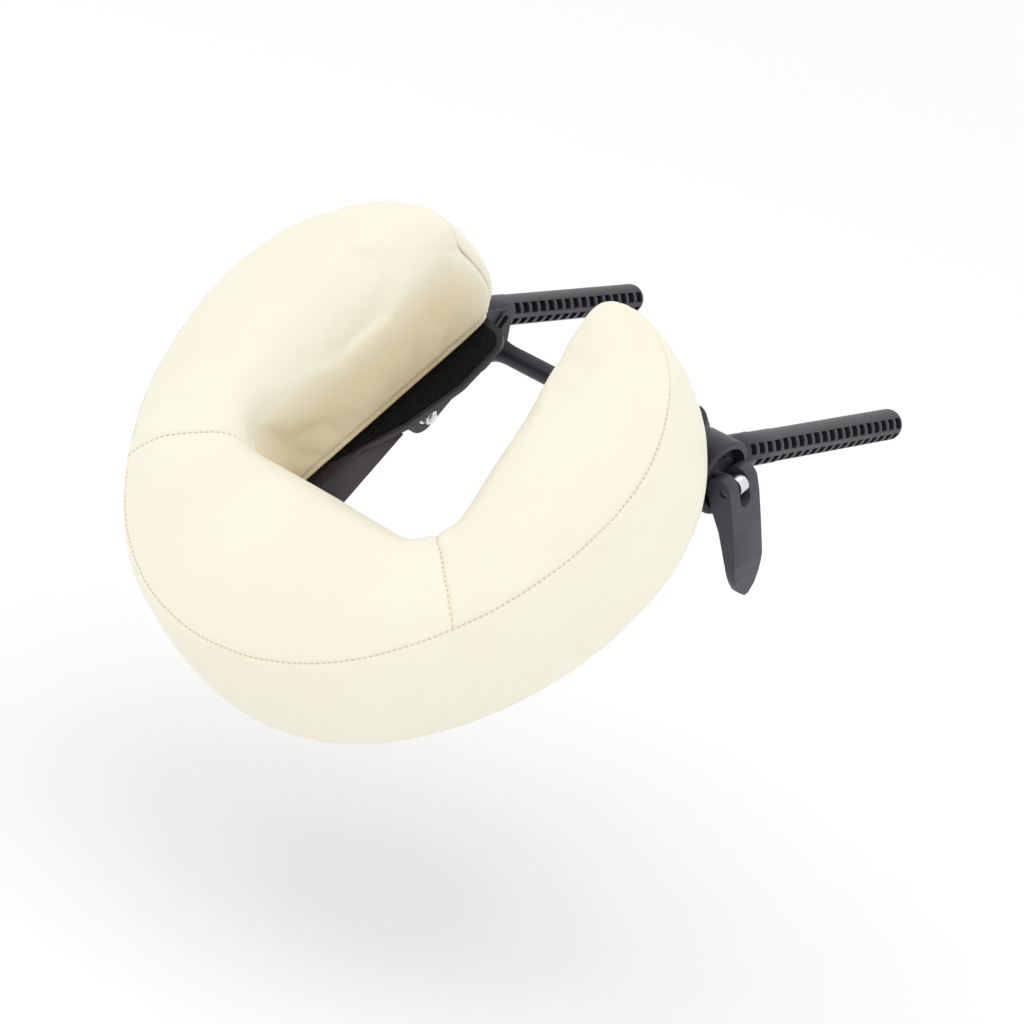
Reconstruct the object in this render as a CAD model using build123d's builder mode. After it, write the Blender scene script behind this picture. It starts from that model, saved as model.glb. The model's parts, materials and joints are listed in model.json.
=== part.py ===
"""Face cradle cushion: a crescent cushion on a tilting platform, two arms, and a base with two posts.

Millimetres. +X is to the right, +Y runs along the posts towards the table, +Z is up.
The origin lies midway between the two posts, on their axes, where they enter the table's sockets.
"""

from build123d import *
from math import cos, radians, sin
import os

os.makedirs("parts", exist_ok=True)

# cushion, in its own tilted frame: the origin at the centre of the outer top seam
cushion_width = 280
cushion_length = 260
cushion_tilt = 46
cushion_centre_y = -225
cushion_centre_z = -16
cushion_top = 5
cushion_bottom = -78
cover_thickness = 1.6
sheet_thickness = 1.2
opening_front = -31

# platform under the cushion
tray_top = -81
tray_thickness = 3.5
skirt_depth = 5
skirt_thickness = 2.6
hook_thickness = 1.4

# base: two posts, each with a hub for the clamp
post_spacing = 192
post_radius = 9
post_root_radius = 9.3
post_root = -34
post_shoulder = -0.5
post_end = 134
first_pocket = -30.8
pocket_pitch = 8.2
pocket_length = 5.2
web_half = 1.5
outer_pockets = 20
inner_pockets = 16
hub_y = -52
hub_z = -10
hub_radius = 21
hub_inner = 84.8
hub_outer = 104.5
recess_floor = 97
seat_face = 99.5
tube_y = -10
tube_z = -19
tube_radius = 6
tube_flare = 8.5
slot_length = 10
rim_height = 1.3
side_plate_inner = 86

# arms between the hubs and the platform
arm_inner = 66
arm_outer = 78
pivot_y = -90
pivot_z = -43.5
lug_inner = 78.3
lug_outer = 84.3
ring_outer = 84.5

# cam levers
lever_swivel = 20
lever_width = 24
cam_radius = 7.5
cam_offset = 3
pin_radius = 2.5
pin_x = 112.5
clamp_bolt_radius = 3
eye_radius = 5.4
clamp_nut_radius = 5.8
pivot_nut_radius = 4.6
thread_gap = 0.02
turning_gap = 0.06
pivot_bolt_radius = 2.5

# derived places
post_x = post_spacing / 2
tilt_cos = cos(radians(cushion_tilt))
tilt_sin = sin(radians(cushion_tilt))
swivel_cos = cos(radians(lever_swivel))
swivel_sin = sin(radians(lever_swivel))
cushion_plane = Plane(
    origin=(0, cushion_centre_y, cushion_centre_z), x_dir=(1, 0, 0), z_dir=(0, -tilt_sin, tilt_cos)
)
hinge_dir = (0, swivel_cos, swivel_sin)
lever_side = Plane(origin=(pin_x, hub_y, hub_z), x_dir=(1, 0, 0), z_dir=hinge_dir)
lever_face = Plane(origin=(pin_x, hub_y, hub_z), x_dir=hinge_dir, z_dir=(1, 0, 0))
pivot_height = -tilt_sin * (pivot_y - cushion_centre_y) + tilt_cos * (pivot_z - cushion_centre_z)
tray_bottom = tray_top - tray_thickness


def write(part, name):
    """Label a finished piece and write its STEP file."""
    part.label = name
    export_step(part, f"parts/{name}.step")


def write_pair(part, name):
    """Write a right-hand piece and its mirror image on the left."""
    write(part, name + "_right")
    write(mirror(part, about=Plane.YZ), name + "_left")


def across(x):
    """The plane at x that faces +X, with +Y and +Z as its own axes."""
    return Plane.YZ.offset(x)


def crescent(inset):
    """The cushion's outline, drawn in by inset on every side."""
    front = cushion_length / 2
    limb_corner = (45.6, front)
    opening_corner = (71.4, opening_front)
    limb_middle = (58.5, (front + opening_front) / 2)
    with BuildSketch() as outline:
        with BuildLine():
            nose = TangentArc((0, -front), (81, -98), tangent=(1, 0))
            flank = TangentArc(nose @ 1, (cushion_width / 2 - 0.5, 30), tangent=nose % 1)
            shoulder = TangentArc(flank @ 1, (112, 106), tangent=flank % 1)
            TangentArc(shoulder @ 1, (58, front), tangent=shoulder % 1)
            FilletPolyline((58, front), limb_corner, limb_middle, radius=10)
            FilletPolyline(limb_middle, opening_corner, (0, opening_front), radius=20)
            mirror(about=Plane.YZ)
        make_face()
        if inset:
            offset(amount=-inset)
    return outline.sketch


def cushion_body(inset):
    """The cushion as one solid with a rolled top edge, drawn in by inset from the cover's outside."""
    with BuildPart() as body:
        with BuildSketch(cushion_plane.offset(cushion_bottom)):
            add(crescent(inset))
        extrude(amount=cushion_top - cushion_bottom - inset)
        top = body.faces().sort_by(Axis((0, 0, 0), cushion_plane.z_dir))[-1]
        fillet(top.edges(), radius=9 - inset)
    return body


# ---------------------------------------------------------------- cushion: foam core and cover panels
outer_skin = cushion_body(0).part
foam = cushion_body(cover_thickness)
write(foam.part, "foam_core")
with BuildPart() as shell:
    add(outer_skin)
    add(foam.part, mode=Mode.SUBTRACT)

# the boxing band covers the outer wall and the limb ends, up to the seam
with BuildPart() as boxing_zone:
    with BuildSketch(cushion_plane.offset(cushion_bottom)):
        Rectangle(cushion_width + 20, cushion_length + 20)
        with BuildLine():
            Polyline((-52, 112), (-80, -40), (80, -40), (52, 112), close=True)
        make_face(mode=Mode.SUBTRACT)
    extrude(amount=-cushion_bottom)
with BuildPart() as boxing:
    add(shell.part)
    add(boxing_zone.part, mode=Mode.INTERSECT)
write(boxing.part, "cover_boxing")

# the top cover is three panels, parted by two radial seams
seam_inner = (50, -17)
seam_outer = (160, -105)
with BuildPart() as front_zone:
    with BuildSketch(cushion_plane.offset(cushion_bottom - 5)):
        with BuildLine():
            Polyline(
                (-seam_inner[0], seam_inner[1]), seam_inner, seam_outer, (160, -160), (-160, -160),
                (-seam_outer[0], seam_outer[1]), close=True,
            )
        make_face()
    extrude(amount=cushion_top - cushion_bottom + 10)
with BuildPart() as cover_front:
    add(shell.part)
    add(boxing.part, mode=Mode.SUBTRACT)
    add(front_zone.part, mode=Mode.INTERSECT)
write(cover_front.part, "cover_front")
with BuildPart() as cover_right:
    add(shell.part)
    add(boxing.part, mode=Mode.SUBTRACT)
    add(front_zone.part, mode=Mode.SUBTRACT)
    split(bisect_by=Plane.YZ, keep=Keep.TOP)
write_pair(cover_right.part, "cover")

# loop fabric closes the cushion's underside
with BuildPart() as loop_sheet:
    with BuildSketch(cushion_plane.offset(cushion_bottom - sheet_thickness)):
        add(crescent(3))
    extrude(amount=sheet_thickness)
write(loop_sheet.part, "loop_sheet")

# ---------------------------------------------------------------- platform
limb_edge = (
    (98.5, 118), (98.2, 142.5), (62, 129), (31.5, 122.5), (33.5, 84), (43.5, 50), (57, 24), (61, -15), (0, -15),
)


def tray_outline():
    """The platform's outline: its inner edge stands proud of the cushion's inner wall."""
    with BuildSketch() as outline:
        with BuildLine():
            nose = TangentArc((0, -114), (75, -84), tangent=(1, 0))
            flank = TangentArc(nose @ 1, (120, 20), tangent=nose % 1)
            TangentArc(flank @ 1, limb_edge[0], tangent=flank % 1)
            FilletPolyline(*limb_edge, radius=12)
            mirror(about=Plane.YZ)
        make_face()
    return outline.sketch


with BuildPart() as platform_tray:
    with BuildSketch(cushion_plane.offset(tray_bottom)):
        add(tray_outline())
    extrude(amount=tray_thickness)
    # the skirt hangs from the outer edge and the rounded limb ends
    with BuildSketch(cushion_plane.offset(tray_bottom - skirt_depth)):
        add(tray_outline())
        offset(tray_outline(), amount=-skirt_thickness, mode=Mode.SUBTRACT)
        with BuildLine():
            Polyline((-84, 128), (-20, 128), (-20, 140), (20, 140), (20, 128), (84, 128), (62, -30), (-62, -30),
                     close=True)
        make_face(mode=Mode.SUBTRACT)
    extrude(amount=skirt_depth)
    # a sloping inner wall on each side of the face opening
    for side in (-1, 1):
        wall_plane = Plane(
            origin=cushion_plane.from_local_coords(Vector(0, 48, 0)), x_dir=(1, 0, 0),
            z_dir=(0, -tilt_cos, -tilt_sin),
        )
        with BuildSketch(wall_plane):
            with BuildLine():
                Polyline(
                    (side * 60.5, tray_top - 0.5), (side * 50, -92), (side * 53, -92),
                    (side * 65, tray_bottom + 0.5), (side * 65, tray_top - 0.5), close=True,
                )
            make_face()
        extrude(amount=62)
write(platform_tray.part, "platform_tray")

# hook strips on the platform hold the cushion's loop fabric
with BuildPart() as hook_strip_right:
    with BuildSketch(cushion_plane.offset(tray_top)):
        with BuildLine():
            FilletPolyline((66, 8), (46, 51), (36, 84), (34.2, 119.5), (84, 126), (95, 118), (112, 40), (108, 8),
                           (66, 8), radius=9, close=True)
        make_face()
    extrude(amount=hook_thickness)
write_pair(hook_strip_right.part, "hook_strip")
with BuildPart() as hook_strip_front:
    with BuildSketch(cushion_plane.offset(tray_top)):
        with Locations((0, -62)):
            RectangleRounded(110, 70, 8)
    extrude(amount=hook_thickness)
write(hook_strip_front.part, "hook_strip_front")

# a pivot lug hangs under each limb of the platform
lug_plane = Plane(origin=(lug_inner, pivot_y, pivot_z), x_dir=(0, tilt_cos, tilt_sin), z_dir=(1, 0, 0))
lug_height = tray_bottom - pivot_height
with BuildPart() as pivot_lug_right:
    with BuildSketch(lug_plane):
        Circle(12)
        with Locations((4, lug_height - 2)):
            Rectangle(52, 4)
        make_hull()
        Circle(pivot_bolt_radius + turning_gap, mode=Mode.SUBTRACT)
    extrude(amount=lug_outer - lug_inner)
write_pair(pivot_lug_right.part, "pivot_lug")

# ---------------------------------------------------------------- arms
# circles along the arm's side view, with a waist between its ends: distance along, height, radius
arm_circles = ((pivot_y, pivot_z, 12), (-67, -23.2, 8.5), (hub_y, hub_z, 13))
with BuildPart() as arm_right:
    for first, second in zip(arm_circles, arm_circles[1:]):
        with BuildSketch(across(arm_inner)):
            for y, z, radius in (first, second):
                with Locations((y, z)):
                    Circle(radius)
            make_hull()
        extrude(amount=arm_outer - arm_inner)
    with BuildSketch(across(arm_outer - 1)):
        with Locations((hub_y, hub_z)):
            Circle(14)
    extrude(amount=6)
    with BuildSketch(across(arm_inner)):
        with Locations((hub_y, hub_z)):
            Circle(7)
    extrude(amount=7.5, mode=Mode.SUBTRACT)
    with BuildSketch(across(arm_inner)):
        with Locations((hub_y, hub_z)):
            Circle(clamp_bolt_radius + turning_gap)
        with Locations((pivot_y, pivot_z)):
            Circle(pivot_bolt_radius + thread_gap)
    extrude(amount=20, mode=Mode.SUBTRACT)
write_pair(arm_right.part, "arm")

with BuildPart() as friction_ring_right:
    with BuildSketch(across(arm_outer + 5)):
        with Locations((hub_y, hub_z)):
            Circle(13.5)
            Circle(6, mode=Mode.SUBTRACT)
    extrude(amount=ring_outer - arm_outer - 5)
write_pair(friction_ring_right.part, "friction_ring")

with BuildPart() as pivot_bolt_right:
    with BuildSketch(across(58.5)):
        with Locations((pivot_y, pivot_z)):
            Circle(pivot_bolt_radius)
    extrude(amount=lug_outer + 0.2 - 58.5)
    with BuildSketch(across(lug_outer + 0.2)):
        with Locations((pivot_y, pivot_z)):
            RegularPolygon(pivot_nut_radius, 6)
    extrude(amount=3.6)
    chamfer(pivot_bolt_right.faces().sort_by(Axis.X)[0].edges(), length=0.6)
write_pair(pivot_bolt_right.part, "pivot_bolt")

with BuildPart() as pivot_washer_right:
    with BuildSketch(across(arm_inner - 1.2)):
        with Locations((pivot_y, pivot_z)):
            Circle(5.8)
            Circle(pivot_bolt_radius + thread_gap, mode=Mode.SUBTRACT)
    extrude(amount=1.2)
write_pair(pivot_washer_right.part, "pivot_washer")

with BuildPart() as pivot_nut_right:
    with BuildSketch(across(arm_inner - 6)):
        with Locations((pivot_y, pivot_z)):
            RegularPolygon(pivot_nut_radius, 6)
            Circle(pivot_bolt_radius + thread_gap, mode=Mode.SUBTRACT)
    extrude(amount=4.8)
write_pair(pivot_nut_right.part, "pivot_nut")

# ---------------------------------------------------------------- base
slot_plane = Plane(origin=(side_plate_inner, -15, -4), x_dir=(0, 0.565, 0.825), z_dir=(1, 0, 0))
post_plane = Plane(origin=(post_x, post_root, 0), x_dir=(1, 0, 0), z_dir=(0, 1, 0))

with BuildPart() as side_frame_right:
    with BuildSketch(across(hub_inner)):
        with Locations((hub_y, hub_z)):
            Circle(hub_radius)
    extrude(amount=hub_outer - hub_inner)
    fillet(side_frame_right.faces().sort_by(Axis.X)[-1].edges(), radius=1.5)
    # the post has a domed tip, and a thicker root whose shoulder stops it in the table's socket
    with BuildSketch(post_plane):
        Circle(post_radius)
    extrude(amount=post_end - post_root)
    fillet(side_frame_right.faces().sort_by(Axis.Y)[-1].edges(), radius=6.5)
    with BuildSketch(post_plane):
        Circle(post_root_radius)
    extrude(amount=post_shoulder - post_root)
    # in front it tapers into the hub's outer face
    with BuildSketch(Plane(origin=(post_x, post_root, 0), x_dir=(1, 0, 0), z_dir=(0, -1, 0))):
        Circle(post_root_radius)
    extrude(amount=9, taper=20)
    # side plate between the hub, the post and the cross tube
    with BuildSketch(across(side_plate_inner)):
        with Locations((hub_y, hub_z)):
            Circle(15)
        with Locations((-12.5, -3.5)):
            Circle(8.5)
        with Locations((tube_y, tube_z)):
            Circle(tube_flare)
        make_hull()
    extrude(amount=5)
    # raised rim around the slot of the side plate
    with BuildSketch(slot_plane.offset(-rim_height)):
        SlotCenterToCenter(slot_length, 8.6)
    extrude(amount=rim_height + 0.2)
    with BuildSketch(slot_plane.offset(-rim_height)):
        SlotCenterToCenter(slot_length, 4.6)
    extrude(amount=9, mode=Mode.SUBTRACT)
    # recess in the hub's outer face, with a raised seat for the cam washer
    with BuildSketch(across(recess_floor)):
        with Locations((hub_y, hub_z)):
            Circle(17)
    extrude(amount=post_radius, mode=Mode.SUBTRACT)
    with BuildSketch(across(recess_floor)):
        with Locations((hub_y, hub_z)):
            Circle(11.5)
    extrude(amount=seat_face - recess_floor)
    with BuildSketch(across(hub_inner)):
        with Locations((hub_y, hub_z)):
            Circle(clamp_bolt_radius + 0.3)
    extrude(amount=hub_outer - hub_inner, mode=Mode.SUBTRACT)
    # two rows of pockets on each side of the post's web
    for row_z, row_height, hidden in ((4.1, 5.4, 0), (-3.7, 4.6, 1)):
        with BuildSketch(across(post_x + web_half)):
            for index in range(hidden, outer_pockets):
                with Locations((first_pocket + index * pocket_pitch, row_z)):
                    Rectangle(pocket_length, row_height)
        extrude(amount=post_radius, mode=Mode.SUBTRACT)
        with BuildSketch(across(post_x - web_half)):
            for index in range(outer_pockets - inner_pockets, outer_pockets):
                with Locations((first_pocket + index * pocket_pitch, row_z)):
                    Rectangle(pocket_length, row_height)
        extrude(amount=-post_radius, mode=Mode.SUBTRACT)
write_pair(side_frame_right.part, "side_frame")

# cross tube with flared ends
flare_length = 20
with BuildPart() as cross_tube:
    with BuildSketch(Plane.XY.offset(tube_z)):
        with BuildLine():
            Polyline(
                (0, tube_y), (side_plate_inner, tube_y), (side_plate_inner, tube_y + tube_flare),
            )
            Spline(
                (side_plate_inner, tube_y + tube_flare), (side_plate_inner - flare_length, tube_y + tube_radius),
                tangents=((-0.6, -0.45), (-1, 0)),
            )
            Polyline((side_plate_inner - flare_length, tube_y + tube_radius), (0, tube_y + tube_radius), (0, tube_y))
        make_face()
    revolve(axis=Axis((0, tube_y, tube_z), (1, 0, 0)))
    mirror(about=Plane.YZ)
write(cross_tube.part, "cross_tube")

# ---------------------------------------------------------------- clamps
with BuildPart() as clamp_bolt_right:
    with BuildSketch(across(arm_inner + 0.4)):
        with Locations((hub_y, hub_z)):
            Circle(clamp_bolt_radius)
    extrude(amount=pin_x - 5 - arm_inner)
    with BuildSketch(lever_side):
        Circle(eye_radius)
    extrude(amount=3.2, both=True)
    with BuildSketch(lever_side):
        Circle(pin_radius + turning_gap)
    extrude(amount=5, both=True, mode=Mode.SUBTRACT)
write_pair(clamp_bolt_right.part, "clamp_bolt")

with BuildPart() as clamp_nut_right:
    with BuildSketch(across(arm_inner + 0.8)):
        with Locations((hub_y, hub_z)):
            RegularPolygon(clamp_nut_radius, 6)
            Circle(clamp_bolt_radius + thread_gap, mode=Mode.SUBTRACT)
    extrude(amount=5.2)
write_pair(clamp_nut_right.part, "clamp_nut")

with BuildPart() as nut_washer_right:
    with BuildSketch(across(arm_inner + 6)):
        with Locations((hub_y, hub_z)):
            Circle(6.4)
            Circle(clamp_bolt_radius + thread_gap, mode=Mode.SUBTRACT)
    extrude(amount=1.3)
write_pair(nut_washer_right.part, "nut_washer")

with BuildPart() as cam_washer_right:
    with BuildSketch(across(seat_face)):
        with Locations((hub_y, hub_z)):
            Circle(11)
            Circle(clamp_bolt_radius + 0.3, mode=Mode.SUBTRACT)
    extrude(amount=pin_x - cam_radius - cam_offset - seat_face - 0.1)
write_pair(cam_washer_right.part, "cam_washer")

# ---------------------------------------------------------------- cam levers
# circles along the lever's side view: distance outwards, distance down, radius
lever_circles = (
    (-cam_offset, 0, cam_radius), (-0.8, 7.5, 7.4), (4.6, 23, 5), (9.6, 43, 3.4), (12, 64, 1.9)
)
fork_width = 8.2
with BuildPart() as cam_lever_right:
    for first, second in zip(lever_circles, lever_circles[1:]):
        with BuildSketch(lever_side):
            for out, down, radius in (first, second):
                with Locations((out, down)):
                    Circle(radius)
            make_hull()
        extrude(amount=lever_width / 2, both=True)
    # the face narrows to a pointed tip
    with BuildSketch(lever_face):
        with BuildLine():
            Polyline((0, 14), (lever_width / 2, 14), (lever_width / 2, -42))
            TangentArc((lever_width / 2, -42), (6.5, -60.5), tangent=(0, -1))
            Line((6.5, -60.5), (0, -66))
            mirror(about=Plane.YZ)
        make_face()
    extrude(amount=30, both=True, mode=Mode.INTERSECT)
    fillet(cam_lever_right.edges().filter_by(Axis.X, reverse=True).group_by(Axis.Z)[0], radius=0.8)
    # fork slot for the bolt's eye
    with BuildSketch(lever_face):
        with Locations((0, 4.5)):
            Rectangle(fork_width, 21)
        with Locations((0, -6)):
            Circle(fork_width / 2)
    extrude(amount=30, both=True, mode=Mode.SUBTRACT)
    with BuildSketch(lever_side):
        Circle(pin_radius + thread_gap)
    extrude(amount=lever_width, both=True, mode=Mode.SUBTRACT)
write_pair(cam_lever_right.part, "cam_lever")

with BuildPart() as lever_pin_right:
    with BuildSketch(lever_side):
        Circle(pin_radius)
    extrude(amount=lever_width / 2 - 1, both=True)
write_pair(lever_pin_right.part, "lever_pin")
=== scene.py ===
import json
import math

import bmesh
import bpy
import numpy as np
from mathutils import Matrix, Vector, noise


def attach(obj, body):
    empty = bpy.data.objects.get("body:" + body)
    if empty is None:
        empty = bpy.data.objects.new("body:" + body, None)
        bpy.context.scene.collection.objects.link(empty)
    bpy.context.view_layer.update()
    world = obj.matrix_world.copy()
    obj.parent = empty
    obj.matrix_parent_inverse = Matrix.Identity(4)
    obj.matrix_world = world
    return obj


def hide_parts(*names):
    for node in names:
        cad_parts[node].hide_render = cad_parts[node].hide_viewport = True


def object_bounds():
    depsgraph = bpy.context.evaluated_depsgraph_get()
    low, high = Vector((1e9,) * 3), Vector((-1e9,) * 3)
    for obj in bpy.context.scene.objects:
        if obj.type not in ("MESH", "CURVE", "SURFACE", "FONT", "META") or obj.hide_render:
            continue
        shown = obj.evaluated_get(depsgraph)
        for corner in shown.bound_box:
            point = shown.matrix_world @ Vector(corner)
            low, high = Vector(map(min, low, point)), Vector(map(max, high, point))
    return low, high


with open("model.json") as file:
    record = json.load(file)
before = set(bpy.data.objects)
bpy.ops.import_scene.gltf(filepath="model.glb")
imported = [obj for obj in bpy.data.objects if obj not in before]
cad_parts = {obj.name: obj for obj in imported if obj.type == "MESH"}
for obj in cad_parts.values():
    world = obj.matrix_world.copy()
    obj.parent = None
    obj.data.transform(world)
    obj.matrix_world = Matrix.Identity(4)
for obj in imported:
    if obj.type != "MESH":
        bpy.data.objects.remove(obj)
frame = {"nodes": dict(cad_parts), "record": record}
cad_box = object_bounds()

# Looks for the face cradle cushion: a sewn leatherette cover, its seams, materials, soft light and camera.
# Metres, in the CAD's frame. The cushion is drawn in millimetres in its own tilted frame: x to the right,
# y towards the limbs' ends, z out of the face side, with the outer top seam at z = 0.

MM = 0.001

# cushion
CUSHION_TILT = math.radians(46)
CUSHION_CENTRE = Vector((0, -0.225, -0.016))
WIDTH = 280
LENGTH = 260
BOTTOM = -78
BOTTOM_SEAM = -73
OPENING_FRONT = -31

# right half of the outline: where its arcs end, from the front round to the limb's end, then the corners of
# the limb's inner edge with the radii that round them
ARC_ENDS = ((81, -98), (WIDTH / 2 - 0.5, 30), (112, 106), (58, LENGTH / 2))
LIMB_CORNER, LIMB_RADIUS = (45.6, LENGTH / 2), 10
OPENING_CORNER, OPENING_RADIUS = (71.4, OPENING_FRONT), 20

# the limb's end, which the band closes, lies between these outer and inner points
LIMB_END = ((100, 115), (48.5, 127))

# radial seams of the right and left half: outer end, inner end, bend
RADIAL_RIGHT = ((112, -61), (67, -25), 0.1)
RADIAL_LEFT = ((104, -71), (58, -30.6), 0.24)

# the top is crowned, less so near the limbs' ends, and rolls over into the inner wall
CROWN = 5.0
FLATNESS = 5
CROWN_FADE = 55
ROLL = 17
ROLL_ROWS = 9

# the grid: the usual cell, gaps beside a seam, rows across the top and down a wall, and the columns' spacing
# at the inner wall as a share of that at the outer edge
CELL = 3.3
SEAM_GAPS = (1.0, 2.2, 4.0, 6.5, 9.7, 13.2)
TOP_ROWS = 14
WALL_ROWS = 12
INNER_SPACING = 0.55

# a distance at which a seam no longer shows
FAR = 99.0

# the walls swell outwards, the band more so along the limbs, and the inner wall spreads towards its foot.
# Both fade out at the inner corners of the limbs' ends
BAND_SWELL = 4.4
LIMB_SWELL = 3.6
LIMB_FROM = -20
LIMB_FULL = 110
BAND_SPREAD = -1.0
BAND_SAG = 8
WALL_SWELL = 1.5
WALL_SPREAD = 1.0
ROUNDNESS = 0.7
CORNER_FADE = 15

# the inner corners of the limbs' ends bulge towards the opening. LOWER moves a bulge below the middle
CORNER_SWELL = 6.0
CORNER_REACH = 22
CORNER_ROUNDNESS = 1.2
CORNER_TOWARDS = (-0.75, 0.66)
LOWER = 1.5

# rows under the band: distance inwards, height over the bottom, share of the sag
UNDERSIDE = ((2, 2.2, 0.85), (5.5, 0.6, 0.6), (13, 0, 0))

# rows under the inner wall: distance inwards, height over the bottom
HEM = ((0.3, 2.5), (1.5, 0.6), (3.5, 0))

# the painted warm shade on the inner wall is full from this share of the wall's height downwards
RECESS_SHADE_FROM = 0.4

# cloth simulation: frames, pressure, and the most that a vertex moves
FRAMES = 20
PRESSURE = 4.0
MOST_MOVE = 6.0

# seams: a groove with a low ridge beside it, and an uneven surface further off
GROOVE_DEPTH = 1.0
GROOVE_WIDTH = 1.1
RIDGE_HEIGHT = 0.35
RIDGE_PLACE = 4.5
RIDGE_WIDTH = 2.5
UNEVENNESS = 0.28
UNEVEN_SCALES = ((28, 1.0), (75, 0.6))
UNEVEN_FROM = 6

# wall rows that the stitches of a radial seam and of a corner run down
RADIAL_DOWN = 6
CORNER_DOWN = 12

# stitches. Each is a tube of five rings: how far each ring stands off the surface, besides the common lift,
# and its share of the thread's radius
STITCH_PITCH = 2.9
STITCH_LENGTH = 2.5
STITCH_LIFT = 0.1
STITCH_ARCH = (-0.25, 0.1, 0.25, 0.1, -0.25)
STITCH_TAPER = (0.35, 0.85, 1.0, 0.85, 0.35)
THREAD_RADIUS = 0.2

# cover colours
CREAM_LIGHT = (0.87, 0.845, 0.71)
CREAM_DARK = (0.855, 0.82, 0.67)
# painted shade: the warm tan of light bounced between the opening's walls, mixed into the inner wall
CREAM_RECESS_SHADE = (0.82, 0.71, 0.49)

# camera: place, right and up directions, lens in millimetres
CAMERA_PLACE = (0.7695, -1.2662, 0.4311)
CAMERA_RIGHT = (0.7509, 0.6019, 0.2717)
CAMERA_UP = (-0.4172, 0.1135, 0.9017)
LENS = 97.1

# area lights: name, place, aim, size, power
LIGHTS = (
    ("key", (-0.9, -1.5, 1.7), (0, -0.15, 0), 1.3, 3.6),
    ("fill", (1.7, -0.9, 0.9), (0, -0.1, 0), 1.6, 1.5),
    ("top", (0.2, 0.4, 1.6), (0, 0, 0), 1.0, 1.7),
)

# the floor lies low enough for the cushion to clear it with every joint at its limit
FLOOR_DROP = 0.115
FLOOR_HALF = 40.0


# ---------------------------------------------------------------- camera, light and floor
def new_object(name, data):
    """An object in the scene that shows the data."""
    made = bpy.data.objects.new(name, data)
    bpy.context.scene.collection.objects.link(made)
    return made


def make_camera():
    camera_data = bpy.data.cameras.new("camera")
    camera_data.lens = LENS
    camera_data.sensor_width = 36
    camera_data.clip_start = 0.05
    camera = new_object("camera", camera_data)
    right = Vector(CAMERA_RIGHT).normalized()
    up = Vector(CAMERA_UP)
    up = (up - right * up.dot(right)).normalized()
    back = right.cross(up)
    rotation = Matrix((right, up, back)).transposed()
    camera.matrix_world = Matrix.Translation(CAMERA_PLACE) @ rotation.to_4x4()
    bpy.context.scene.camera = camera


def make_area_light(name, place, target, size, power):
    data = bpy.data.lights.new(name, "AREA")
    data.shape = "DISK"
    data.size = size
    data.energy = power
    light = new_object(name, data)
    light.location = place
    light.rotation_mode = "QUATERNION"
    light.rotation_quaternion = (Vector(target) - Vector(place)).to_track_quat("-Z", "Y")


def make_floor():
    mesh = bpy.data.meshes.new("floor")
    height = cad_box[0].z - FLOOR_DROP
    corners = [(x * FLOOR_HALF, y * FLOOR_HALF, height) for x, y in ((-1, -1), (1, -1), (1, 1), (-1, 1))]
    mesh.from_pydata(corners, [], [(0, 1, 2, 3)])
    floor = new_object("floor", mesh)
    material = bpy.data.materials.new("floor")
    material.use_nodes = True
    shader = material.node_tree.nodes["Principled BSDF"]
    shader.inputs["Base Color"].default_value = (0.95, 0.95, 0.95, 1)
    shader.inputs["Roughness"].default_value = 0.9
    shader.inputs["Specular IOR Level"].default_value = 0.1
    mesh.materials.append(material)


def make_world():
    world = bpy.data.worlds.new("world")
    world.use_nodes = True
    background = world.node_tree.nodes["Background"]
    background.inputs["Color"].default_value = (1, 1, 1, 1)
    background.inputs["Strength"].default_value = 1.02
    bpy.context.scene.world = world
    bpy.context.scene.view_settings.view_transform = "Standard"


# ---------------------------------------------------------------- materials
# a mix node's sockets for colours
MIX_FIRST, MIX_SECOND, MIX_RESULT = 6, 7, 2


class Nodes:
    """A short way to build one Principled material."""

    def __init__(self, name):
        self.material = bpy.data.materials.new(name)
        self.material.use_nodes = True
        self.tree = self.material.node_tree
        self.shader = self.tree.nodes["Principled BSDF"]
        self.place = self.add("ShaderNodeTexCoord").outputs["Object"]

    def add(self, kind, inputs=None, **settings):
        node = self.tree.nodes.new(kind)
        for key, value in settings.items():
            setattr(node, key, value)
        for key, value in (inputs or {}).items():
            if isinstance(value, bpy.types.NodeSocket):
                self.tree.links.new(value, node.inputs[key])
            else:
                node.inputs[key].default_value = value
        return node

    def noise(self, scale, detail=4):
        return self.add(
            "ShaderNodeTexNoise",
            {"Vector": self.place, "Scale": scale, "Detail": detail, "Roughness": 0.55},
        ).outputs["Fac"]

    def cells(self, scale, randomness):
        return self.add(
            "ShaderNodeTexVoronoi",
            {"Vector": self.place, "Scale": scale, "Randomness": randomness}, feature="F1",
        ).outputs["Distance"]

    def mix(self, share, first, second):
        mixer = self.add(
            "ShaderNodeMix",
            {"Factor": share, MIX_FIRST: first, MIX_SECOND: (*second, 1)}, data_type="RGBA",
        )
        return mixer.outputs[MIX_RESULT]

    def ramp(self, value, stops):
        node = self.add("ShaderNodeValToRGB", {"Fac": value})
        elements = node.color_ramp.elements
        while len(elements) < len(stops):
            elements.new(0.5)
        for element, (position, colour) in zip(elements, stops):
            element.position = position
            element.color = (*colour, 1)
        return node.outputs["Color"]

    def range(self, value, low, high):
        inputs = {"Value": value, "To Min": low, "To Max": high}
        return self.add("ShaderNodeMapRange", inputs).outputs["Result"]

    def set(self, **inputs):
        for key, value in inputs.items():
            socket = self.shader.inputs[key.replace("_", " ")]
            if isinstance(value, bpy.types.NodeSocket):
                self.tree.links.new(value, socket)
            else:
                socket.default_value = value

    def bump(self, height, strength, distance, below=None):
        inputs = {"Height": height, "Strength": strength, "Distance": distance}
        if below is not None:
            inputs["Normal"] = below
        return self.add("ShaderNodeBump", inputs).outputs["Normal"]


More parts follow.
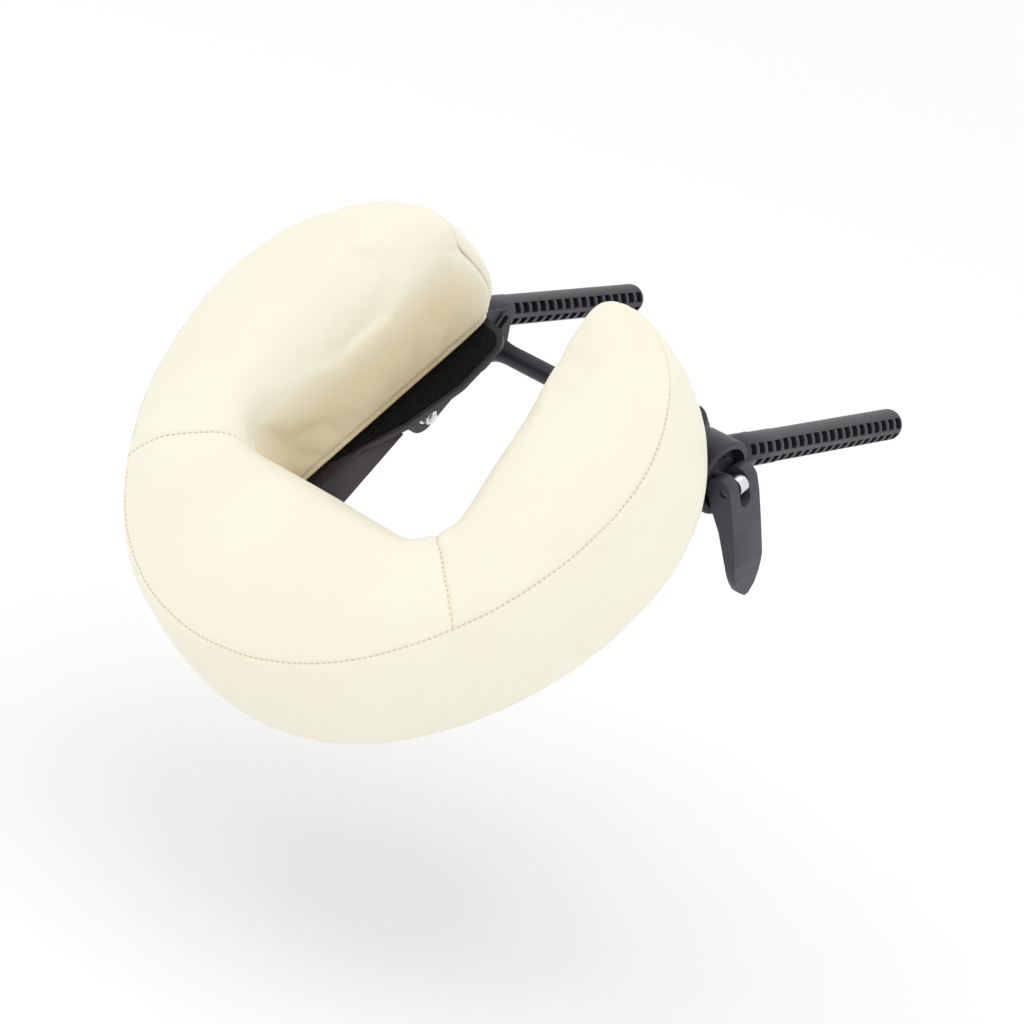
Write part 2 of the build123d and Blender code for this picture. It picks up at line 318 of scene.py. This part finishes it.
def leatherette_material(name, light, dark):
    """Smooth upholstery vinyl: a fine pebble grain, broad soft creases and a faint change of shade.
    It also carries painted shade: it turns a warm tan where the mesh's painted-shade attribute is near one,
    standing in for light bounced between the opening's walls."""
    nodes = Nodes(name)
    tone = nodes.noise(14, 3)
    plain = nodes.ramp(tone, [(0.3, dark), (0.7, light)])
    # painted shade: the inner wall mixes towards a warm tan where the attribute is near one
    recess_shade = nodes.add("ShaderNodeAttribute", attribute_name="recess_shade").outputs["Fac"]
    nodes.set(Base_Color=nodes.mix(recess_shade, plain, CREAM_RECESS_SHADE))
    pebbles = nodes.cells(950, 0.9)
    grain = nodes.noise(1500, 2)
    waves = nodes.noise(38, 2)
    normal = nodes.bump(waves, 0.22, 0.002)
    normal = nodes.bump(pebbles, 0.16, 0.0003, normal)
    normal = nodes.bump(grain, 0.08, 0.0002, normal)
    nodes.set(Normal=normal, Roughness=nodes.range(nodes.noise(90, 3), 0.4, 0.52))
    nodes.set(Specular_IOR_Level=0.45, Sheen_Weight=0.05, Sheen_Roughness=0.4)
    return nodes.material


def plastic_material(name, light, dark, roughness):
    """Moulded black plastic: a fine spark-eroded grain, slightly uneven gloss and paler rubbed edges."""
    nodes = Nodes(name)
    rubbed = nodes.add("ShaderNodeNewGeometry").outputs["Pointiness"]
    edge = nodes.ramp(rubbed, [(0.53, (0, 0, 0)), (0.62, (1, 1, 1))])
    mottled = nodes.ramp(nodes.noise(30, 4), [(0.35, dark), (0.65, light)])
    paler = tuple(value * 1.9 for value in light)
    nodes.set(Base_Color=nodes.mix(edge, mottled, paler))
    normal = nodes.bump(nodes.noise(1300, 2), 0.22, 0.0002)
    nodes.set(Normal=normal, Roughness=nodes.range(nodes.noise(60, 4), roughness - 0.05, roughness + 0.08))
    nodes.set(Specular_IOR_Level=0.38)
    return nodes.material


def metal_material(name, colour, roughness):
    """Plated steel with fine turning marks."""
    nodes = Nodes(name)
    marks = nodes.noise(600, 3)
    nodes.set(Base_Color=(*colour, 1), Metallic=1.0)
    nodes.set(Roughness=nodes.range(nodes.noise(220, 4), roughness - 0.05, roughness + 0.1))
    nodes.set(Normal=nodes.bump(marks, 0.12, 0.0001))
    return nodes.material


def fabric_material(name, light, dark, scale):
    """Hook, loop and foam surfaces: a close nap of small tufts."""
    nodes = Nodes(name)
    tufts = nodes.cells(scale, 0.8)
    nodes.set(Base_Color=nodes.ramp(tufts, [(0.0, light), (0.6, dark)]))
    nodes.set(Normal=nodes.bump(tufts, 0.7, 0.0006), Roughness=nodes.range(nodes.noise(150, 3), 0.85, 0.97))
    nodes.set(Specular_IOR_Level=0.2)
    return nodes.material


def thread_material():
    """Tan sewing thread."""
    nodes = Nodes("thread")
    twist = nodes.noise(2600, 2)
    nodes.set(Base_Color=nodes.ramp(twist, [(0.35, (0.6, 0.5, 0.34)), (0.7, (0.74, 0.65, 0.47))]))
    nodes.set(Normal=nodes.bump(twist, 0.4, 0.0002), Roughness=nodes.range(twist, 0.55, 0.75))
    return nodes.material


def soften(node, width):
    """Rounds a node's sharp edges by width millimetres."""
    weld = node.modifiers.new("weld", "WELD")
    weld.merge_threshold = 0.00001
    bevel = node.modifiers.new("bevel", "BEVEL")
    bevel.width = width * MM
    bevel.segments = 2
    bevel.limit_method = "ANGLE"
    bevel.angle_limit = math.radians(35)
    bevel.use_clamp_overlap = True


def dress_frame():
    """Gives every CAD node the finish of its material slot, and softens the sharp edges of the plastic and
    steel ones.
    """
    by_slot = {
        "black_plastic": plastic_material(
            "black_plastic", (0.034, 0.029, 0.039), (0.023, 0.02, 0.027), 0.42
        ),
        "lever_plastic": plastic_material(
            "lever_plastic", (0.027, 0.023, 0.033), (0.018, 0.016, 0.022), 0.42
        ),
        "steel": metal_material("plated_steel", (0.72, 0.72, 0.75), 0.22),
        "dark_steel": metal_material("dark_steel", (0.1, 0.1, 0.105), 0.35),
        "hook_fabric": fabric_material("hook_fabric", (0.012, 0.011, 0.012), (0.004, 0.004, 0.004), 700),
        "loop_fabric": fabric_material("loop_fabric", (0.06, 0.06, 0.063), (0.02, 0.02, 0.022), 900),
        "rubber": plastic_material("rubber", (0.03, 0.03, 0.03), (0.02, 0.02, 0.02), 0.7),
        "foam": fabric_material("foam", (0.85, 0.8, 0.6), (0.75, 0.7, 0.5), 800),
        "leatherette": leatherette_material("panel_leatherette", CREAM_LIGHT, CREAM_DARK),
    }
    edge_widths = {"black_plastic": 0.4, "lever_plastic": 0.4, "steel": 0.2, "dark_steel": 0.2}
    slot_of = {row["node"]: row["material_slot"] for row in frame["record"]["subparts"]}
    for name, node in frame["nodes"].items():
        slot = slot_of[name]
        for material_slot in node.material_slots:
            material_slot.material = by_slot[slot]
        if slot in edge_widths:
            soften(node, edge_widths[slot])


# ---------------------------------------------------------------- cushion outline
def unit(vector):
    """The vector at length one."""
    return np.asarray(vector, float) / np.linalg.norm(vector)


def turned(vector, angle):
    """A plane vector turned anticlockwise."""
    c, s = math.cos(angle), math.sin(angle)
    return np.array([c * vector[0] - s * vector[1], s * vector[0] + c * vector[1]])


def arc(start, direction, end, count=40):
    """Points along the arc that leaves start along direction and reaches end, and its direction there."""
    start, end, direction = np.asarray(start, float), np.asarray(end, float), unit(direction)
    side = turned(direction, math.pi / 2)
    chord = end - start
    turn = 2 * math.atan2(chord @ side, chord @ direction)
    radius = (chord @ chord) / (2 * (chord @ side))
    centre = start + side * radius
    points = [centre + turned(start - centre, turn * k / count) for k in range(count + 1)]
    return points, turned(direction, turn)


def rounded(before, corner, after, radius, count=16):
    """Points along the arc of that radius that rounds a corner."""
    before, corner, after = (np.asarray(p, float) for p in (before, corner, after))
    into, out = unit(corner - before), unit(after - corner)
    turn = math.acos(np.clip(into @ out, -1, 1))
    start = corner - into * radius * math.tan(turn / 2)
    end = corner + out * radius * math.tan(turn / 2)
    return arc(start, into, end, count)[0]


def length_along(points):
    """The distance from the first point to each point, along the line."""
    steps = np.linalg.norm(np.diff(points, axis=0), axis=1)
    return np.concatenate([[0], np.cumsum(steps)])


class Curve:
    """A polyline read by the share of its length."""

    def __init__(self, points):
        self.points = np.asarray(points, float)
        self.at = length_along(self.points)
        self.length = self.at[-1]

    def __call__(self, share):
        where = np.asarray(share) * self.length
        return np.stack([np.interp(where, self.at, values) for values in self.points.T], -1)

    def share_near(self, point):
        """The share at the curve's point nearest to the one given."""
        return self.at[np.argmin(np.linalg.norm(self.points - np.asarray(point), axis=1))] / self.length

    def part(self, first, last, count=200):
        """The stretch between two shares."""
        return Curve(self(np.linspace(first, last, count)))


def half_outline():
    """The right half of the outline, from the front centre to the middle of the opening's closed end."""
    outside, heading = [np.array((0, -LENGTH / 2))], (1, 0)
    for arc_end in ARC_ENDS:
        points, heading = arc(outside[-1], heading, arc_end)
        outside += points[1:]
    limb_middle = (np.array(LIMB_CORNER) + OPENING_CORNER) / 2
    opening_middle = (0, OPENING_FRONT)
    limb_round = rounded(outside[-1], LIMB_CORNER, limb_middle, LIMB_RADIUS)
    opening_round = rounded(limb_middle, OPENING_CORNER, opening_middle, OPENING_RADIUS)
    return Curve(outside + limb_round + [limb_middle] + opening_round + [opening_middle])


def spaced(length, near_start, near_end):
    """Places along a length, closer together near a seam."""
    gaps = np.array(SEAM_GAPS)
    first = gaps[-1] if near_start else 0
    last = length - gaps[-1] if near_end else length
    middle = np.linspace(first, last, max(2, round((last - first) / CELL)) + 1)
    start = [0, *gaps[:-1]] if near_start else []
    end = [*(length - gaps[:-1][::-1]), length] if near_end else []
    return np.concatenate([start, middle, end])


def coons(outer, inner, first, last, u, v):
    """The patch between four curves. u runs along outer and inner, v across from outer to inner."""
    u, v = u[..., None], v[..., None]
    flat_u, flat_v = u[..., 0], v[..., 0]
    corners = (
        (1 - u) * (1 - v) * outer(0) + u * (1 - v) * outer(1) + (1 - u) * v * inner(0) + u * v * inner(1)
    )
    return (
        (1 - v) * outer(flat_u) + v * inner(flat_u) + (1 - u) * first(flat_v) + u * last(flat_v) - corners
    )


def half_patches(radial):
    """The two top patches of one half, drawn on the right, parted by the radial seam. Each is its outer and
    inner curve, the curves at its first and last column, and whether it is the limb's."""
    outline = half_outline()
    seam_from, seam_to, seam_bow = radial
    limb_seam, inner_seam = outline.share_near(seam_from), outline.share_near(seam_to)
    limb_end, inner_corner = (outline.share_near(point) for point in LIMB_END)
    centre_line = Curve([(0, -LENGTH / 2), (0, OPENING_FRONT)])
    seam_start, seam_stop = outline(limb_seam), outline(inner_seam)
    radial_seam = Curve(arc(seam_start, turned(seam_stop - seam_start, -seam_bow), seam_stop)[0])
    front_inner = Curve(outline.part(inner_seam, 1).points[::-1])
    limb_inner = Curve(outline.part(inner_corner, inner_seam).points[::-1])
    limb_last = outline.part(limb_end, inner_corner)
    return (
        (outline.part(0, limb_seam), front_inner, centre_line, radial_seam, False),
        (outline.part(limb_seam, limb_end), limb_inner, radial_seam, limb_last, True),
    )


def column_profile(width, end_gap):
    """One column of the grid, from the outer edge over the top, down the inner wall and under its hem. Gives
    each vertex's distance from the inner edge, height and distance from the outer seam, and the wall's first
    row. end_gap grows from nothing to one at the limb's end."""
    over_top = np.linspace(SEAM_GAPS[-1], width - ROLL, TOP_ROWS + 1)[1:]
    from_seam = np.concatenate([[0], SEAM_GAPS, over_top])
    angles = np.radians(np.linspace(0, 90, ROLL_ROWS + 1)[1:])
    wall = len(from_seam) + len(angles)
    heights = wall_shares()
    hem_inwards, hem_heights = np.array(HEM).T
    inwards = np.concatenate([
        width - from_seam, ROLL * (1 - np.sin(angles)), np.zeros(len(heights)), hem_inwards,
    ])
    crown = CROWN * (1 - np.clip(inwards / width, 0, 1) ** FLATNESS) * (1 - end_gap ** FLATNESS)
    top_z = crown[:len(from_seam)]
    roll_z = crown[len(from_seam):wall] - ROLL * (1 - np.cos(angles))
    wall_z = roll_z[-1] + (BOTTOM_SEAM - roll_z[-1]) * heights
    z = np.concatenate([top_z, roll_z, wall_z, BOTTOM + hem_heights])
    to_outer = np.concatenate([from_seam, np.full(len(z) - len(from_seam), FAR)])
    return inwards, z, to_outer, wall


def cushion_columns(radial):
    """The cover's top and inner wall on one half, drawn on the right: positions[column, row], each vertex's
    distance from the nearest seam, the wall's first row and the radial seam's column."""
    positions, distances = [], []
    for outer, inner, first, last, is_limb in half_patches(radial):
        if is_limb:
            seam_column = len(positions) - 1
        along = spaced(outer.length, is_limb, True)
        for s in along[1:] if is_limb else along:
            u = s / outer.length
            width = np.linalg.norm(outer(u) - inner(u))
            end_gap = np.clip(1 - (outer.length - s) / CROWN_FADE, 0, 1) if is_limb else 0
            inwards, z, to_outer, wall = column_profile(width, end_gap)
            share = inwards / width
            plan = coons(outer, inner, first, last, np.full(len(share), u), 1 - share)
            positions.append(np.column_stack([plan, z]))
            spacing = INNER_SPACING + (1 - INNER_SPACING) * share
            to_radial = abs(s - (0 if is_limb else outer.length)) * spacing
            to_end = np.full(len(z), outer.length - s if is_limb else FAR)
            to_bottom = abs(z - BOTTOM_SEAM)
            to_bottom[:wall] = FAR
            distances.append(np.minimum.reduce([to_radial, to_outer, to_end, to_bottom]))
    return np.array(positions), np.array(distances), wall, seam_column


def swell(share):
    """How far a wall stands out, from nothing at its top and bottom edges to one at its middle."""
    return (4 * share * (1 - share)) ** ROUNDNESS


def corner_distance(line):
    """Each point's distance along a line from the nearer of its ends, which are the limb ends' corners."""
    along = length_along(line)
    return np.minimum(along, along[-1] - along)


def corner_fade(line):
    """Nothing at a line's two ends, and one further from them."""
    return 1 - np.exp(-(corner_distance(line) / CORNER_FADE) ** 2)


def corner_push(line, share):
    """How the limb ends' inner corners bulge towards the opening, along a line that ends at both corners."""
    near = np.exp(-((corner_distance(line) / CORNER_REACH) ** 2))
    across, up = CORNER_TOWARDS
    towards = np.column_stack([across * np.sign(line[:, 0]), np.full(len(line), up)])
    return towards * (CORNER_SWELL * swell(share ** LOWER) ** CORNER_ROUNDNESS * near)[:, None]


def wall_shares():
    """Heights down a wall from its top edge to the bottom seam, closer together near the top."""
    full = -BOTTOM_SEAM
    near = np.array(SEAM_GAPS) / full
    return np.concatenate([near, np.linspace(near[-1], 1, WALL_ROWS + 1)[1:]])


def outward(points):
    """The outline's outward direction at each point, in the plane."""
    along = np.gradient(points, axis=0)
    along /= np.linalg.norm(along, axis=1)[:, None]
    return np.column_stack([along[:, 1], -along[:, 0]])


def push_wall(top, wall):
    """Swells the inner wall of positions[column, row], spreads its foot and bulges its corners."""
    edge_line = top[:, wall - 1, :2]
    away = -outward(edge_line)
    for k, share in enumerate(np.concatenate([wall_shares(), np.ones(len(HEM))])):
        push = (WALL_SWELL * swell(share) + WALL_SPREAD * share ** 2) * corner_fade(edge_line)
        top[:, wall + k, :2] += away * push[:, None] + corner_push(edge_line, share)


def band_rows(edge_points):
    """The band's rows below its top edge, each as its points and their distances from the top seam."""
    edge_line, edge_z = edge_points[:, :2], edge_points[:, 2]
    away = outward(edge_line)
    fade = corner_fade(edge_points)
    limb = np.clip((edge_line[:, 1] - LIMB_FROM) / (LIMB_FULL - LIMB_FROM), 0, 1)
    rows = []
    for share in wall_shares():
        z = edge_z + (BOTTOM_SEAM - BAND_SAG * fade - edge_z) * share
        swelling = BAND_SWELL * swell(share) + LIMB_SWELL * limb * swell(share ** LOWER)
        push = (swelling + BAND_SPREAD * share) * fade
        plan = edge_line + away * push[:, None] + corner_push(edge_line, share)
        rows.append((np.column_stack([plan, z]), edge_z - z))
    for inset, lift, sag in UNDERSIDE:
        z = BOTTOM + lift - BAND_SAG * sag * fade
        plan = edge_line - away * (inset * fade)[:, None]
        rows.append((np.column_stack([plan, z]), np.full(len(z), FAR)))
    return rows


class Cover:
    """The cover as one mesh of quads: the top panels with the inner wall, and the boxing band round the
    outside. Points are in millimetres, in the cushion's frame. distance is each point's distance from the
    nearest seam. Each point also holds its share of the painted warm shade on the inner wall, and seams and
    pinned hold point numbers."""

    def __init__(self):
        right, right_distance, wall, right_seam = cushion_columns(RADIAL_RIGHT)
        left, left_distance, wall, left_seam = cushion_columns(RADIAL_LEFT)
        top = np.concatenate([left[::-1] * (-1, 1, 1), right[1:]])
        columns, rows = top.shape[:2]
        shares = wall_shares()
        push_wall(top, wall)
        # painted shade: a warm tan share that grows down the inner wall and fades out at the limbs' corners
        recess_shade = np.zeros((columns, rows))
        fade = corner_fade(top[:, wall - 1, :2])
        recess_shade[:, wall:wall + len(shares)] = np.minimum(shares / RECESS_SHADE_FROM, 1) * fade[:, None]
        recess_shade[:, wall + len(shares):] = 1
        index = np.arange(columns * rows).reshape(columns, rows)
        self.faces = []
        self.add_quads(index)

        # the band's top edge runs from one inner corner round the outside to the other
        edge = np.concatenate([index[0, wall - 1:0:-1], index[:, 0], index[-1, 1:wall]])
        points = [top.reshape(-1, 3)]
        distances = [left_distance[::-1].ravel(), right_distance[1:].ravel()]
        band = [edge]
        for k, (row, from_top) in enumerate(band_rows(points[0][edge])):
            new = np.arange(len(edge) - 2) + sum(len(part) for part in points)
            points.append(row[1:-1])
            distances.append(from_top[1:-1])
            band.append(np.concatenate([[index[0, wall + k]], new, [index[-1, wall + k]]]))
        band = np.array(band).T
        self.add_quads(band[:, ::-1])
        self.points = np.concatenate(points)
        self.distance = np.concatenate(distances)
        self.recess_shade = np.concatenate([recess_shade.ravel(), np.zeros(len(self.points) - recess_shade.size)])
        self.seams = {
            "outer": edge,
            "radial_left": index[len(left) - 1 - left_seam, :wall + RADIAL_DOWN],
            "radial_right": index[len(left) - 1 + right_seam, :wall + RADIAL_DOWN],
            "corner_left": index[0, wall - 1:wall + CORNER_DOWN],
            "corner_right": index[-1, wall - 1:wall + CORNER_DOWN],
        }
        wall_foot = index[:, wall + len(shares) - 1:]
        band_foot = band[:, len(shares):]
        self.pinned = np.concatenate([edge, wall_foot.ravel(), band_foot.ravel()])

    def add_quads(self, index):
        a, b, c, d = index[:-1, :-1], index[1:, :-1], index[1:, 1:], index[:-1, 1:]
        self.faces.append(np.stack([a, b, c, d], -1).reshape(-1, 4))


def to_world(points):
    """Cushion millimetres to the CAD frame's metres."""
    points = np.asarray(points) * MM
    c, s = math.cos(CUSHION_TILT), math.sin(CUSHION_TILT)
    x, y, z = points.T
    return np.column_stack([x, y * c - z * s, y * s + z * c]) + np.array(CUSHION_CENTRE)


def read_vectors(items, name):
    """The vector called name of every item, as rows."""
    values = np.zeros(len(items) * 3)
    items.foreach_get(name, values)
    return values.reshape(-1, 3)


def coordinates(mesh):
    return read_vectors(mesh.vertices, "co")


def normals(mesh):
    return read_vectors(mesh.vertex_normals, "vector")


def shade_smooth(mesh):
    for polygon in mesh.polygons:
        polygon.use_smooth = True


def apply_modifiers(piece):
    """Keeps what the modifiers make as the piece's own mesh."""
    depsgraph = bpy.context.evaluated_depsgraph_get()
    mesh = bpy.data.meshes.new_from_object(piece.evaluated_get(depsgraph))
    piece.modifiers.clear()
    piece.data = mesh


def inflate(piece, pinned):
    """Blows the cover up a little with the cloth solver, held along its seams."""
    rest = coordinates(piece.data)
    group = piece.vertex_groups.new(name="seams")
    group.add([int(i) for i in pinned], 1.0, "REPLACE")
    cloth = piece.modifiers.new("cloth", "CLOTH")
    settings = cloth.settings
    settings.quality = 6
    settings.mass = 0.3
    settings.tension_stiffness = 25
    settings.compression_stiffness = 25
    settings.shear_stiffness = 12
    settings.bending_stiffness = 1.5
    settings.shrink_min = -0.012
    settings.use_pressure = True
    settings.uniform_pressure_force = PRESSURE
    settings.vertex_group_mass = "seams"
    settings.effector_weights.gravity = 0
    cloth.collision_settings.use_collision = False
    cloth.point_cache.frame_start = 1
    cloth.point_cache.frame_end = FRAMES
    scene = bpy.context.scene
    for step in range(1, FRAMES + 1):
        scene.frame_set(step)
    apply_modifiers(piece)
    scene.frame_set(1)
    move = coordinates(piece.data) - rest
    size = np.linalg.norm(move, axis=1)
    limit = MOST_MOVE * MM
    share = limit * np.tanh(size / limit) / np.maximum(size, 1e-9)
    piece.data.vertices.foreach_set("co", (rest + move * share[:, None]).ravel())
    piece.data.update()
    mean, most = float(size.mean() / MM), float(size.max() / MM)
    print("cushion moved by mm: mean", round(mean, 2), "most", round(most, 2))


def close_underside(piece):
    """Fills the one open edge, under the cushion, and turns every face outwards."""
    cover = bmesh.new()
    cover.from_mesh(piece.data)
    open_edges = [e for e in cover.edges if e.is_boundary]
    bmesh.ops.triangle_fill(cover, edges=open_edges, use_beauty=True)
    bmesh.ops.recalc_face_normals(cover, faces=cover.faces)
    cover.to_mesh(piece.data)
    cover.free()


def make_cushion():
    """The sewn, padded cover that stands for the foam core and its four panels."""
    cover = Cover()
    mesh = bpy.data.meshes.new("cushion_cover")
    mesh.from_pydata(to_world(cover.points).tolist(), [], np.concatenate(cover.faces).tolist())
    mesh.validate()
    piece = new_object("cushion_cover", mesh)
    work = bmesh.new()
    work.from_mesh(mesh)
    bmesh.ops.recalc_face_normals(work, faces=work.faces)
    centre_face = max(work.faces, key=lambda f: f.calc_center_median().z)
    if centre_face.normal.z < 0:
        bmesh.ops.reverse_faces(work, faces=work.faces)
    work.to_mesh(mesh)
    work.free()
    inflate(piece, cover.pinned)
    gap = piece.data.attributes.new("seam_gap", "FLOAT", "POINT")
    gap.data.foreach_set("value", cover.distance.astype(np.float32))
    # painted shade on the inner wall, kept as an attribute for the leatherette material
    recess_shade = piece.data.attributes.new("recess_shade", "FLOAT", "POINT")
    recess_shade.data.foreach_set("value", cover.recess_shade.astype(np.float32))
    subdivision = piece.modifiers.new("subdivision", "SUBSURF")
    subdivision.levels = 1
    subdivision.render_levels = 1
    apply_modifiers(piece)
    press_seams(piece)
    close_underside(piece)
    shade_smooth(piece.data)
    piece.data.materials.append(leatherette_material("cushion_leatherette", CREAM_LIGHT, CREAM_DARK))
    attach(piece, "platform")
    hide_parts("foam_core", "cover_left", "cover_right", "cover_front", "cover_boxing")
    return piece, cover


def press_seams(piece):
    """Sinks the seams into the padding, and leaves the surface between them slightly uneven."""
    mesh = piece.data
    co, normal = coordinates(mesh), normals(mesh)
    gap = np.zeros(len(mesh.vertices), np.float32)
    mesh.attributes["seam_gap"].data.foreach_get("value", gap)
    groove = GROOVE_DEPTH * np.exp(-((gap / GROOVE_WIDTH) ** 2))
    ridge = RIDGE_HEIGHT * np.exp(-(((gap - RIDGE_PLACE) / RIDGE_WIDTH) ** 2))
    away = 1 - np.exp(-((gap / UNEVEN_FROM) ** 2))
    uneven = np.array([
        sum(share * noise.noise(Vector(point) * scale) for scale, share in UNEVEN_SCALES) for point in co
    ])
    shift = ridge - groove + UNEVENNESS * uneven * away
    mesh.vertices.foreach_set("co", (co + normal * shift[:, None] * MM).ravel())
    mesh.attributes.remove(mesh.attributes["seam_gap"])
    mesh.update()


# ---------------------------------------------------------------- stitching
def add_tube(points, frames, radius, vertices, faces, sides=8):
    """Adds one short stitch: a tube with pinched ends, round the points, in their frames of side and up."""
    first = len(vertices)
    for point, (side, up), share in zip(points, frames, STITCH_TAPER):
        for k in range(sides):
            angle = 2 * math.pi * k / sides
            vertices.append(point + (side * math.cos(angle) + up * math.sin(angle)) * radius * share)
    for ring in range(len(points) - 1):
        for k in range(sides):
            a, b = first + ring * sides + k, first + ring * sides + (k + 1) % sides
            faces.append((a, b, b + sides, a + sides))
    faces.append(tuple(first + k for k in reversed(range(sides))))
    last = first + (len(points) - 1) * sides
    faces.append(tuple(last + k for k in range(sides)))


def make_stitching(piece, cover):
    """Rows of stitches along the cover's seams. The cover's first vertices are still the grid's own."""
    co, normal = coordinates(piece.data), normals(piece.data)
    material = thread_material()
    reach = STITCH_LENGTH * MM / 2
    rings = np.linspace(-reach, reach, len(STITCH_ARCH))
    lift = (np.array(STITCH_ARCH) + STITCH_LIFT) * MM
    for name, indices in cover.seams.items():
        path = co[indices]
        line = Curve(path)
        facing = Curve(np.column_stack([path, normal[indices]]))
        facing.at, facing.length = line.at, line.length
        vertices, faces = [], []
        count = int(line.length / (STITCH_PITCH * MM))
        for k in range(count):
            middle = (k + 0.5) * line.length / count
            sample = facing(np.clip((middle + rings) / line.length, 0, 1))
            points, up = sample[:, :3], sample[:, 3:]
            along = unit(points[-1] - points[0])
            up = up - np.outer(up @ along, along)
            up /= np.linalg.norm(up, axis=1)[:, None]
            points = points + up * lift[:, None]
            frames = [(np.cross(along, direction), direction) for direction in up]
            add_tube(points, frames, THREAD_RADIUS * MM, vertices, faces)
        mesh = bpy.data.meshes.new("stitching_" + name)
        mesh.from_pydata([tuple(v) for v in vertices], [], faces)
        stitches = new_object("stitching_" + name, mesh)
        shade_smooth(mesh)
        mesh.materials.append(material)
        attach(stitches, "platform")


make_camera()
make_world()
make_floor()
for light in LIGHTS:
    make_area_light(*light)
dress_frame()
cushion, cover = make_cushion()
make_stitching(cushion, cover)
